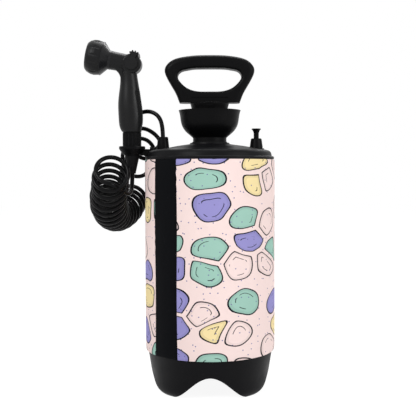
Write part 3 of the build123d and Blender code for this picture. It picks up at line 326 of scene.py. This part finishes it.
# Mesh helpers
def new_piece(name, mesh, body, slot):
    """Object for a finished mesh, riding on a body, with its slot's finish."""
    piece = bpy.data.objects.new(name, mesh)
    bpy.context.scene.collection.objects.link(piece)
    if not mesh.materials:
        mesh.materials.append(finish_library()[slot])
    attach(piece, body)
    return piece


def grown(carrier, group, inputs, name, body, slot):
    """Runs a node group on a carrier mesh and keeps the result as a plain piece."""
    modifier = carrier.modifiers.new("Grow", "NODES")
    modifier.node_group = group
    for item in group.interface.items_tree:
        if item.item_type == "SOCKET" and item.in_out == "INPUT" and item.name in inputs:
            modifier[item.identifier] = inputs[item.name]
    bpy.context.view_layer.update()
    depsgraph = bpy.context.evaluated_depsgraph_get()
    mesh = bpy.data.meshes.new_from_object(carrier.evaluated_get(depsgraph), depsgraph=depsgraph)
    bpy.data.objects.remove(carrier)
    mesh.name = name
    return new_piece(name, mesh, body, slot)


def group_with(name, sizes):
    """Node group with a geometry input and output and named size inputs."""
    group = bpy.data.node_groups.new(name, "GeometryNodeTree")
    group.interface.new_socket("Geometry", in_out="INPUT", socket_type="NodeSocketGeometry")
    for label, kind, default in sizes:
        socket = group.interface.new_socket(label, in_out="INPUT", socket_type=kind)
        socket.default_value = default
    group.interface.new_socket("Geometry", in_out="OUTPUT", socket_type="NodeSocketGeometry")
    return group, node(group, "NodeGroupInput"), node(group, "NodeGroupOutput")


def finish_group(group, laid, result, finish):
    """Ends a group: the laid instances as real, smooth mesh with their material."""
    real = node(group, "GeometryNodeRealizeInstances", [("Geometry", laid.outputs["Instances"])])
    smooth = node(group, "GeometryNodeSetShadeSmooth", [("Geometry", real.outputs["Geometry"])])
    coated = node(group, "GeometryNodeSetMaterial", [("Geometry", smooth.outputs["Geometry"]),
                                                     ("Material", finish)])
    group.links.new(coated.outputs["Geometry"], result.inputs["Geometry"])


def stitch_group(finish):
    """Stitches in a row along edges: a short thin ellipsoid at each step, turned along the seam."""
    group, given, result = group_with("Stitches_along_seam", [
        ("Spacing", "NodeSocketFloat", 0.0034), ("Length", "NodeSocketFloat", 0.0026),
        ("Thickness", "NodeSocketFloat", 0.0005)])
    line = node(group, "GeometryNodeMeshToCurve", [("Mesh", given.outputs["Geometry"])])
    steps = node(group, "GeometryNodeResampleCurve", [("Curve", line.outputs["Curve"]),
                                                      ("Length", given.outputs["Spacing"])], mode="LENGTH")
    half = node(group, "ShaderNodeMath", [(0, given.outputs["Length"]), (1, 0.5)], operation="MULTIPLY")
    thread = node(group, "GeometryNodeMeshUVSphere", [("Segments", 8), ("Rings", 6),
                                                      ("Radius", half.outputs[0])])
    ratio = node(group, "ShaderNodeMath", [(0, given.outputs["Thickness"]), (1, half.outputs[0])],
                 operation="DIVIDE")
    flat = node(group, "ShaderNodeCombineXYZ", [("X", ratio.outputs[0]), ("Y", ratio.outputs[0]), ("Z", 1.0)])
    along = node(group, "GeometryNodeInputTangent")
    turn = node(group, "FunctionNodeAlignRotationToVector", [("Vector", along.outputs["Tangent"])], axis="Z")
    laid = node(group, "GeometryNodeInstanceOnPoints", [
        ("Points", steps.outputs["Curve"]), ("Instance", thread.outputs["Mesh"]),
        ("Rotation", turn.outputs["Rotation"]), ("Scale", flat.outputs["Vector"])])
    finish_group(group, laid, result, finish)
    return group


def pip_group(finish):
    """Low domes, one at each point, standing along the point's facing."""
    group, given, result = group_with("Pips_on_points", [("Radius", "NodeSocketFloat", 0.001)])
    dome = node(group, "GeometryNodeMeshUVSphere", [("Segments", 12), ("Rings", 8),
                                                    ("Radius", given.outputs["Radius"])])
    facing = node(group, "GeometryNodeInputNamedAttribute", [("Name", "facing")], data_type="FLOAT_VECTOR")
    turn = node(group, "FunctionNodeAlignRotationToVector", [("Vector", facing.outputs["Attribute"])], axis="Z")
    set_on = node(group, "GeometryNodeInstanceOnPoints", [
        ("Points", given.outputs["Geometry"]), ("Instance", dome.outputs["Mesh"]),
        ("Rotation", turn.outputs["Rotation"]), ("Scale", (1.0, 1.0, 0.6))])
    finish_group(group, set_on, result, finish)
    return group


# Body that the tank, the sleeve and the hose belong to
ROOT = "shower_base"

# Sleeve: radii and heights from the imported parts
PANEL_LOW, PANEL_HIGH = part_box("sleeve_panel")
SLEEVE_RADIUS = PANEL_HIGH[0]
STRIP_CENTRE = math.radians(-131.8)
STRIP_HALF = 0.0434 / 2
SEAM = 0.00025
WRAP_INSET = 0.0002
WRAP_CLEARANCE = 0.0003
WRAP_ROWS = 70
STITCH_INSET = 0.0028


def seam_drift(z):
    """Small wander of the sewn edge along its height, as in a seam pulled by hand."""
    pucker = 0.0007 * math.exp(-((z - 0.325) / 0.02) ** 2) * math.sin(z * 420.0)
    return 0.0005 * math.sin(z * 31.0) + pucker


def wrap_mesh(name, first, last, low, high, columns, rows):
    """Sheet bent round the tank between two angles, with its own flat measure as UV map."""
    mesh = bpy.data.meshes.new(name)
    shape = bmesh.new()
    flat = shape.loops.layers.uv.new("Flat")
    grid = []
    measure = {}
    for r in range(rows + 1):
        z = low + (high - low) * r / rows
        start, end = first(z), last(z)
        line = []
        for c in range(columns + 1):
            angle = start + (end - start) * c / columns
            edge = min(r, rows - r) / rows * (high - low)
            tuck = 0.0005 * math.exp(-edge / 0.003)
            radius = SLEEVE_RADIUS - tuck + 0.00012 * math.sin(angle * 9.0 + z * 23.0)
            vert = shape.verts.new((radius * math.cos(angle), radius * math.sin(angle), z))
            measure[vert] = (SLEEVE_RADIUS * angle, z)
            line.append(vert)
        grid.append(line)
    for r in range(rows):
        for c in range(columns):
            face = shape.faces.new((grid[r][c], grid[r][c + 1], grid[r + 1][c + 1], grid[r + 1][c]))
            face.smooth = True
            for loop in face.loops:
                loop[flat].uv = measure[loop.vert]
    shape.to_mesh(mesh)
    shape.free()
    return mesh


def wrap_piece(name, first, last, node_name, slot, columns):
    """One sewn part of the sleeve, thickened inwards, its edges rounded."""
    low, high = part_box(node_name)
    mesh = wrap_mesh(name, first, last, low[2] + WRAP_INSET, high[2] - WRAP_INSET, columns, WRAP_ROWS)
    piece = new_piece(name, mesh, ROOT, slot)
    wall = piece.modifiers.new("Foam", "SOLIDIFY")
    wall.thickness = bpy.context.scene.shower_sleeve.thickness - WRAP_CLEARANCE
    wall.offset = -1.0
    edge = piece.modifiers.new("Bound edge", "BEVEL")
    edge.width = 0.0009
    edge.segments = 3
    edge.limit_method = "ANGLE"
    edge.angle_limit = math.radians(50)
    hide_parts(node_name)
    width = (last(low[2]) - first(low[2])) * SLEEVE_RADIUS
    return piece


def seam_line(name, angle_of, lift, low, high, steps=90):
    """Edges that a row of stitches follows."""
    mesh = bpy.data.meshes.new(name)
    points = []
    for k in range(steps + 1):
        z = low + (high - low) * k / steps
        angle = angle_of(z)
        radius = SLEEVE_RADIUS + lift
        points.append((radius * math.cos(angle), radius * math.sin(angle), z))
    mesh.from_pydata(points, [(k, k + 1) for k in range(steps)], [])
    carrier = bpy.data.objects.new(name, mesh)
    bpy.context.scene.collection.objects.link(carrier)
    return carrier


# Hose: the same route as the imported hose, in metres
OUTLET_TOP = (-0.0707, 0.0, 0.3760)
LEAD_ROUTE = [
    OUTLET_TOP, (-0.0707, 0.0, 0.395), (-0.077, 0.004, 0.413), (-0.093, 0.010, 0.421), (-0.112, 0.017, 0.416),
    (-0.125, 0.023, 0.401), (-0.127, 0.027, 0.381), (-0.114, 0.031, 0.363), (-0.097, 0.034, 0.357),
    (-0.080, 0.034, 0.3645), (-0.076, 0.034, 0.376), (-0.088, 0.035, 0.389), (-0.105, 0.037, 0.397),
    (-0.121, 0.041, 0.390), (-0.127, 0.046, 0.373), (-0.119, 0.051, 0.356), (-0.104, 0.057, 0.347),
    (-0.091, 0.064, 0.351), (-0.088, 0.066, 0.365), (-0.099, 0.065, 0.379), (-0.117, 0.064, 0.382),
    (-0.133, 0.065, 0.372), (-0.141, 0.069, 0.354), (-0.138, 0.072, 0.334), (-0.125, 0.075, 0.320),
    (-0.107, 0.077, 0.320), (-0.095, 0.078, 0.333), (-0.097, 0.079, 0.350), (-0.110, 0.081, 0.361),
    (-0.127, 0.082, 0.359), (-0.139, 0.083, 0.346),
]
COIL_LINE = [
    (-0.126, 0.076, 0.288), (-0.133, 0.058, 0.271), (-0.143, 0.038, 0.262), (-0.151, 0.013, 0.266),
    (-0.152, -0.015, 0.284), (-0.147, -0.037, 0.309), (-0.1415, -0.050, 0.333),
]
END_ROUTE = [
    (-0.129, -0.047, 0.300), (-0.121, -0.034, 0.294), (-0.1175, -0.018, 0.298), (-0.117, -0.006, 0.311),
    (-0.117, -0.006, 0.3309),
]


def along_coil(t):
    """Centre of a ring, t from 0 at the coil's back to 1 at its front, on a smooth line."""
    last = len(COIL_LINE) - 1
    place = t * last
    i = min(int(place), last - 1)
    f = place - i
    a, b, c, d = (Vector(COIL_LINE[min(max(k, 0), last)]) for k in (i - 1, i, i + 1, i + 2))
    return (2 * b + (c - a) * f + (2 * a - 5 * b + 4 * c - d) * f * f + (3 * b - a - 3 * c + d) * f ** 3) / 2


def coil_lengths(steps=200):
    """Shares of the coil's line with their lengths from its back end."""
    table = [(0.0, 0.0)]
    before = along_coil(0.0)
    for k in range(1, steps + 1):
        here = along_coil(k / steps)
        table.append((k / steps, table[-1][1] + (here - before).length))
        before = here
    return table


def at_length(table, share):
    """Share of the line's points at a share of its length."""
    wanted = share * table[-1][1]
    for (t0, s0), (t1, s1) in zip(table, table[1:]):
        if s1 >= wanted:
            return t0 + (t1 - t0) * (wanted - s0) / max(s1 - s0, 1e-9)
    return 1.0


def coil_points(settings, per_turn=12, start=150.0):
    """The coil's turns: one loop round the coil's line, rings facing between the line and +Y."""
    chance = random.Random(11)
    table = coil_lengths()
    count = int(round(settings.turns * per_turn))
    points = []
    swing = [chance.uniform(-1, 1) for _ in range(int(settings.turns) + 3)]
    swell = [chance.uniform(-1, 1) for _ in range(int(settings.turns) + 3)]
    for k in range(count + 1):
        share = k / count
        # The front rings stand a little further apart
        t = at_length(table, share + 0.05 * (share ** 6 - share))
        turn = k / per_turn
        low, part = int(turn), turn - int(turn)
        stray = swing[low] * (1 - part) + swing[low + 1] * part
        size = swell[low] * (1 - part) + swell[low + 1] * part
        line = (along_coil(max(t - 0.02, 0)) - along_coil(min(t + 0.02, 1))).normalized()
        facing = (line + Vector((0, 1.35, 0))).normalized()
        across = (Vector((1, 0, 0)) - facing * facing.x).normalized()
        up = across.cross(facing)
        angle = math.radians(start) + 2 * math.pi * turn
        radius = settings.ring_radius + size * settings.looseness
        centre = along_coil(t) + across * stray * settings.looseness
        points.append(centre + radius * (math.cos(angle) * across + math.sin(angle) * up))
    return points


class SHOWER_OT_finishes(bpy.types.Operator):
    """Gives every moulded, turned and rubber part its real finish and smooth rounds"""
    bl_idname = "shower.finishes"
    bl_label = "Finish the rigid parts"

    def execute(self, context):
        slots = {item["node"]: item["material_slot"] for item in frame["record"]["subparts"]}
        library = finish_library()
        for name, part in frame["nodes"].items():
            part.data.materials.clear()
            part.data.materials.append(library[slots[name]])
            if "custom_normal" in part.data.attributes:
                part.data.attributes.remove(part.data.attributes["custom_normal"])
            part.data.shade_smooth()
            weld = part.modifiers.new("Weld", "WELD")
            weld.merge_threshold = 0.00001
            crease = part.modifiers.new("Crease", "EDGE_SPLIT")
            crease.split_angle = math.radians(28)
        return {"FINISHED"}


class SHOWER_OT_hose(bpy.types.Operator):
    """Lays the hose in one line: outlet, loose turns, coil, and up into the handset's tail"""
    bl_idname = "shower.hose"
    bl_label = "Lay the hose"

    def execute(self, context):
        settings = context.scene.shower_hose
        points = [Vector(p) for p in LEAD_ROUTE] + coil_points(settings) + [Vector(p) for p in END_ROUTE]
        curve = bpy.data.curves.new("shower_hose", "CURVE")
        curve.dimensions = "3D"
        spline = curve.splines.new("NURBS")
        spline.points.add(len(points) - 1)
        for point, place in zip(spline.points, points):
            point.co = (*place, 1.0)
        spline.order_u = 3
        spline.use_endpoint_u = True
        spline.resolution_u = 5
        curve.bevel_depth = settings.diameter / 2
        curve.bevel_resolution = 5
        curve.use_fill_caps = True
        curve.materials.append(finish_library()["hose_polyurethane"])
        hose = bpy.data.objects.new("shower_hose", curve)
        context.scene.collection.objects.link(hose)
        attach(hose, ROOT)
        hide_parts("hose_lead", "hose_coil", "hose_end")
        return {"FINISHED"}


class SHOWER_OT_sleeve(bpy.types.Operator):
    """Wraps the tank in its printed sleeve with the plain closure strip and its sewn seams"""
    bl_idname = "shower.sleeve"
    bl_label = "Sew the sleeve"

    def execute(self, context):
        settings = context.scene.shower_sleeve
        half = STRIP_HALF / SLEEVE_RADIUS
        gap = SEAM / SLEEVE_RADIUS

        def right(z):
            return STRIP_CENTRE + half + seam_drift(z) / SLEEVE_RADIUS

        def left(z):
            return STRIP_CENTRE - half + seam_drift(z + 0.1) / SLEEVE_RADIUS

        wrap_piece("printed_wrap", lambda z: right(z) + gap, lambda z: left(z) - gap + 2 * math.pi,
                   "sleeve_panel", "printed_neoprene", 300)
        wrap_piece("plain_strip", lambda z: left(z) + gap, lambda z: right(z) - gap,
                   "closure_strip", "black_neoprene", 20)
        group = stitch_group(finish_library()["black_neoprene"])
        low, high = PANEL_LOW[2] + 0.004, PANEL_HIGH[2] - 0.004
        rows = {
            "strip_stitches_right": lambda z: right(z) - STITCH_INSET / SLEEVE_RADIUS,
            "strip_stitches_left": lambda z: left(z) + STITCH_INSET / SLEEVE_RADIUS,
        }
        for name, angle_of in rows.items():
            carrier = seam_line(name + "_line", angle_of, 0.0002, low, high)
            grown(carrier, group, {"Spacing": settings.stitch_spacing, "Length": settings.stitch_spacing * 0.74,
                                   "Thickness": 0.00035}, name, ROOT, "black_neoprene")
        return {"FINISHED"}


class SHOWER_OT_grip(bpy.types.Operator):
    """Sets rows of small pips on the grip's soft pad"""
    bl_idname = "shower.grip"
    bl_label = "Set the grip's pips"

    def execute(self, context):
        settings = context.scene.shower_grip
        pad = frame["nodes"]["grip_pad"]
        corners = [v.co.copy() for v in pad.data.vertices]
        tree = BVHTree.FromPolygons(corners, [p.vertices[:] for p in pad.data.polygons])
        low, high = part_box("grip_pad")
        axis = Vector(((low[0] + high[0]) / 2 - 0.010, (low[1] + high[1]) / 2, 0.0))
        chance = random.Random(settings.seed)
        places, facings = [], []
        level = low[2] + 0.0045
        row = 0
        while level < high[2] - 0.004:
            turn = -52.0 + (row % 2) * 5.5
            while turn <= 52.0:
                angle = math.radians(turn)
                out = Vector((math.cos(angle), math.sin(angle), 0.0))
                start = Vector((axis.x, axis.y, level)) + out * 0.05
                place, normal, _, _ = tree.ray_cast(start, -out)
                if place is not None and normal.dot(out) > 0.7:
                    places.append(place)
                    facings.append(normal + Vector([chance.uniform(-0.02, 0.02) for _ in range(3)]))
                turn += 11.0
            level += settings.pip_spacing
            row += 1
        mesh = bpy.data.meshes.new("grip_pips_places")
        mesh.from_pydata(places, [], [])
        data = mesh.attributes.new("facing", "FLOAT_VECTOR", "POINT")
        for value, facing in zip(data.data, facings):
            value.vector = facing
        carrier = bpy.data.objects.new("grip_pips_places", mesh)
        context.scene.collection.objects.link(carrier)
        grown(carrier, pip_group(finish_library()["soft_rubber"]), {"Radius": settings.pip_radius},
              "grip_pips", "handset", "soft_rubber")
        return {"FINISHED"}


# The floor as the camera sees it: mostly plain white, and the rest paint that takes the shadow
WHITE_SHARE = 0.75
WHITE_STRENGTH = 1.22

# Picture size that the camera's shifts were measured on, in pixels
PICTURE = 416


def seen_rays(tree):
    """1 for rays from the camera, also off or through an object, and 0 for rays that only bring light."""
    path = node(tree, "ShaderNodeLightPath")
    seen = node(tree, "ShaderNodeMath", [(0, path.outputs["Is Camera Ray"]),
                                         (1, path.outputs["Is Glossy Ray"])], operation="MAXIMUM")
    return node(tree, "ShaderNodeMath", [(0, seen.outputs[0]), (1, path.outputs["Is Transmission Ray"])],
                operation="MAXIMUM")


class SHOWER_OT_studio(bpy.types.Operator):
    """Sets the pale floor, the soft lights and the camera"""
    bl_idname = "shower.studio"
    bl_label = "Set the studio"

    def execute(self, context):
        settings = context.scene.shower_studio
        scene = context.scene
        scene.view_settings.view_transform = "Standard"
        self.floor(scene)
        self.surround(scene, settings)
        lights = [
            ("Key", (-1.5, -1.9, 1.9), 1.1, settings.key),
            ("Fill", (1.9, -1.3, 1.0), 1.1, settings.fill),
            ("Top", (0.1, 0.9, 2.2), 1.0, settings.fill * 0.8),
            ("Rim", (1.0, 1.7, 1.5), 0.2, settings.rim),
        ]
        for name, place, size, power in lights:
            data = bpy.data.lights.new(name, "AREA")
            data.size = size
            data.energy = power
            lamp = bpy.data.objects.new(name, data)
            lamp.location = place
            aim = Vector((0.0, 0.0, 0.25)) - Vector(place)
            lamp.rotation_euler = aim.to_track_quat("-Z", "Y").to_euler()
            scene.collection.objects.link(lamp)
        data = bpy.data.cameras.new("Camera")
        data.lens = settings.lens
        data.sensor_width = 36.0
        data.shift_x = -1.9 / PICTURE
        data.shift_y = 1.4 / PICTURE
        data.clip_start = 0.05
        camera = bpy.data.objects.new("Camera", data)
        camera.location = (0.0, -settings.distance, settings.height)
        level = Matrix.Rotation(math.pi / 2 - settings.pitch, 3, "X")
        camera.rotation_euler = (level @ Matrix.Rotation(settings.roll, 3, "Z")).to_euler()
        scene.collection.objects.link(camera)
        scene.camera = camera
        return {"FINISHED"}

    def floor(self, scene):
        """Pale floor that shows white to the camera and keeps the object's shadow."""
        mesh = bpy.data.meshes.new("floor")
        shape = bmesh.new()
        bmesh.ops.create_circle(shape, cap_ends=True, radius=6.0, segments=64)
        shape.to_mesh(mesh)
        shape.free()
        floor = bpy.data.objects.new("floor", mesh)
        scene.collection.objects.link(floor)
        material = bpy.data.materials.new("Painted_studio_floor")
        material.use_nodes = True
        tree = material.node_tree
        tree.nodes.clear()
        seen = seen_rays(tree)
        share = node(tree, "ShaderNodeMath", [(0, seen.outputs[0]), (1, WHITE_SHARE)],
                     operation="MULTIPLY")
        paint = node(tree, "ShaderNodeBsdfDiffuse", [("Color", rgba(linear("#f4f4f4")))])
        white = node(tree, "ShaderNodeEmission", [("Color", (1, 1, 1, 1)), ("Strength", WHITE_STRENGTH)])
        both = node(tree, "ShaderNodeMixShader", [(0, share.outputs[0]), (1, paint.outputs[0]),
                                                  (2, white.outputs[0])])
        node(tree, "ShaderNodeOutputMaterial", [("Surface", both.outputs[0])])
        mesh.materials.append(material)

    def surround(self, scene, settings):
        """Even light from all round, and a white backdrop to the camera and in reflections."""
        world = bpy.data.worlds.new("Studio")
        world.use_nodes = True
        scene.world = world
        tree = world.node_tree
        tree.nodes.clear()
        seen = seen_rays(tree)
        strength = node(tree, "ShaderNodeMapRange", [("Value", seen.outputs[0]), ("To Min", settings.surround),
                                                     ("To Max", 1.0)])
        light = node(tree, "ShaderNodeBackground", [("Color", (1, 1, 1, 1)),
                                                    ("Strength", strength.outputs["Result"])])
        node(tree, "ShaderNodeOutputWorld", [("Surface", light.outputs["Background"])])


class SHOWER_PT_panel(bpy.types.Panel):
    """Sizes, colours and steps of the shower"""
    bl_idname = "SHOWER_PT_panel"
    bl_label = "Portable shower"
    bl_space_type = "VIEW_3D"
    bl_region_type = "UI"
    bl_category = "Shower"

    def draw(self, context):
        layout = self.layout
        for group in (context.scene.shower_hose, context.scene.shower_sleeve, context.scene.shower_grip,
                      context.scene.shower_studio):
            box = layout.box()
            for name in group.__annotations__:
                box.prop(group, name)
        for step in STEPS:
            layout.operator(step.bl_idname)


GROUPS = {
    "shower_hose": HoseSettings,
    "shower_sleeve": SleeveSettings,
    "shower_grip": GripSettings,
    "shower_studio": StudioSettings,
}
STEPS = [SHOWER_OT_finishes, SHOWER_OT_hose, SHOWER_OT_sleeve, SHOWER_OT_grip, SHOWER_OT_studio]
CLASSES = [*GROUPS.values(), *STEPS, SHOWER_PT_panel]


def register():
    for cls in CLASSES:
        bpy.utils.register_class(cls)
    for name, group in GROUPS.items():
        setattr(bpy.types.Scene, name, PointerProperty(type=group))


def unregister():
    for name in GROUPS:
        delattr(bpy.types.Scene, name)
    for cls in reversed(CLASSES):
        bpy.utils.unregister_class(cls)


def main():
    register()
    bpy.ops.shower.finishes()
    bpy.ops.shower.hose()
    bpy.ops.shower.sleeve()
    bpy.ops.shower.grip()
    bpy.ops.shower.studio()


if __name__ == "__main__":
    main()
